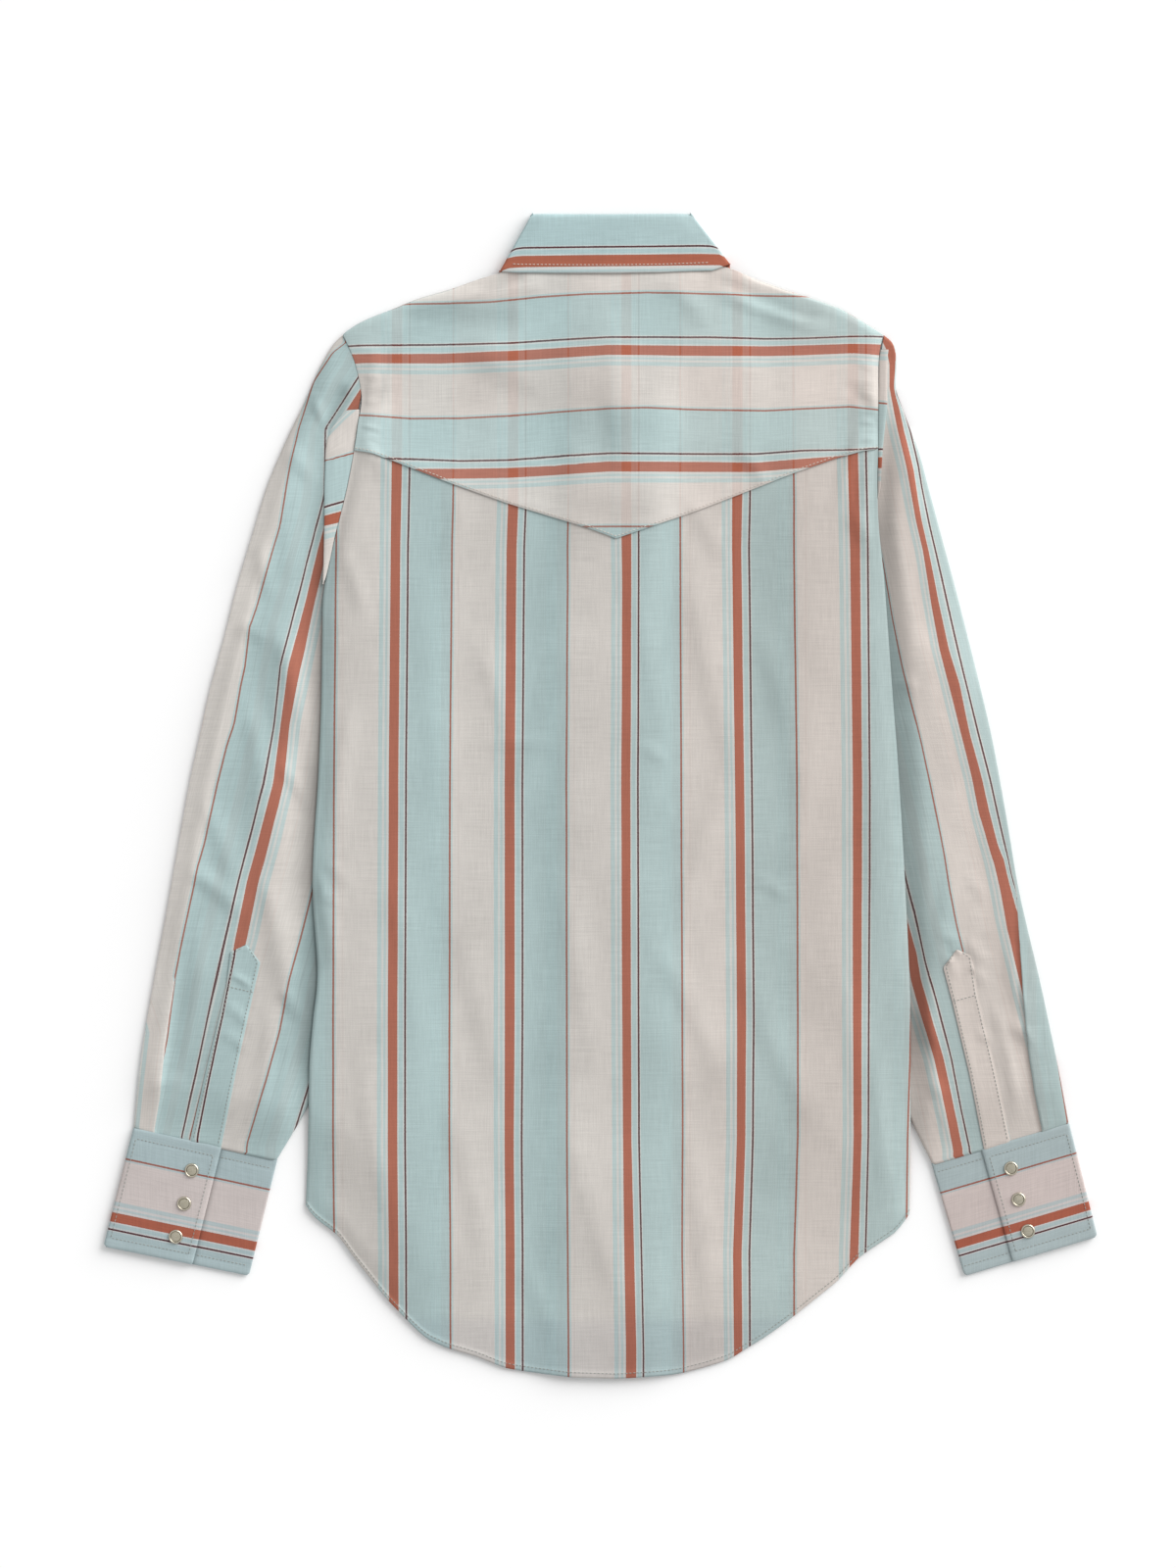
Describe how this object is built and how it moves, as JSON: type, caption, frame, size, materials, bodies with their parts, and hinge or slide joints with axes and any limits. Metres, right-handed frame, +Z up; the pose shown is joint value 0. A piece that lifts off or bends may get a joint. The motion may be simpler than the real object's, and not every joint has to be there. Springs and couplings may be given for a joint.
{
  "type": "western snap shirt",
  "caption": "Long-sleeved shirt laid flat with its back up: striped cloth, pointed yoke, curved hem, pearl snaps on cuffs and front.",
  "frame": {"origin": "centre of the underside of the bounding box, on the surface the shirt lies on", "axes": "+Z up, out of the back of the shirt; +Y towards the collar; +X to the wearer's right, as the shirt lies on its front"},
  "size_m": [0.7078, 0.8312, 0.0077],
  "materials": {
    "shirt_cloth": "light plain-weave cotton with a multi-colour stripe",
    "snap_metal": "warm silver ring",
    "snap_pearl": "pearly cream cap"
  },
  "bodies": {
    "root": {"back_panel": "shirt_cloth", "back_yoke": "shirt_cloth", "front_left": "shirt_cloth", "front_right": "shirt_cloth", "front_placket": "shirt_cloth", "collar": "shirt_cloth", "collar_stand": "shirt_cloth", "sleeve_left": "shirt_cloth", "sleeve_right": "shirt_cloth", "sleeve_placket_left": "shirt_cloth", "sleeve_placket_right": "shirt_cloth", "cuff_left": "shirt_cloth", "cuff_right": "shirt_cloth", "snap_cuff_left_1_ring": "snap_metal", "snap_cuff_left_1_pearl": "snap_pearl", "snap_cuff_left_2_ring": "snap_metal", "snap_cuff_left_2_pearl": "snap_pearl", "snap_cuff_left_3_ring": "snap_metal", "snap_cuff_left_3_pearl": "snap_pearl", "snap_cuff_right_1_ring": "snap_metal", "snap_cuff_right_1_pearl": "snap_pearl", "snap_cuff_right_2_ring": "snap_metal", "snap_cuff_right_2_pearl": "snap_pearl", "snap_cuff_right_3_ring": "snap_metal", "snap_cuff_right_3_pearl": "snap_pearl", "snap_front_1_ring": "snap_metal", "snap_front_1_pearl": "snap_pearl", "snap_front_2_ring": "snap_metal", "snap_front_2_pearl": "snap_pearl", "snap_front_3_ring": "snap_metal", "snap_front_3_pearl": "snap_pearl", "snap_front_4_ring": "snap_metal", "snap_front_4_pearl": "snap_pearl", "snap_front_5_ring": "snap_metal", "snap_front_5_pearl": "snap_pearl", "snap_front_6_ring": "snap_metal", "snap_front_6_pearl": "snap_pearl", "snap_front_7_ring": "snap_metal", "snap_front_7_pearl": "snap_pearl"}
  },
  "joints": []
}
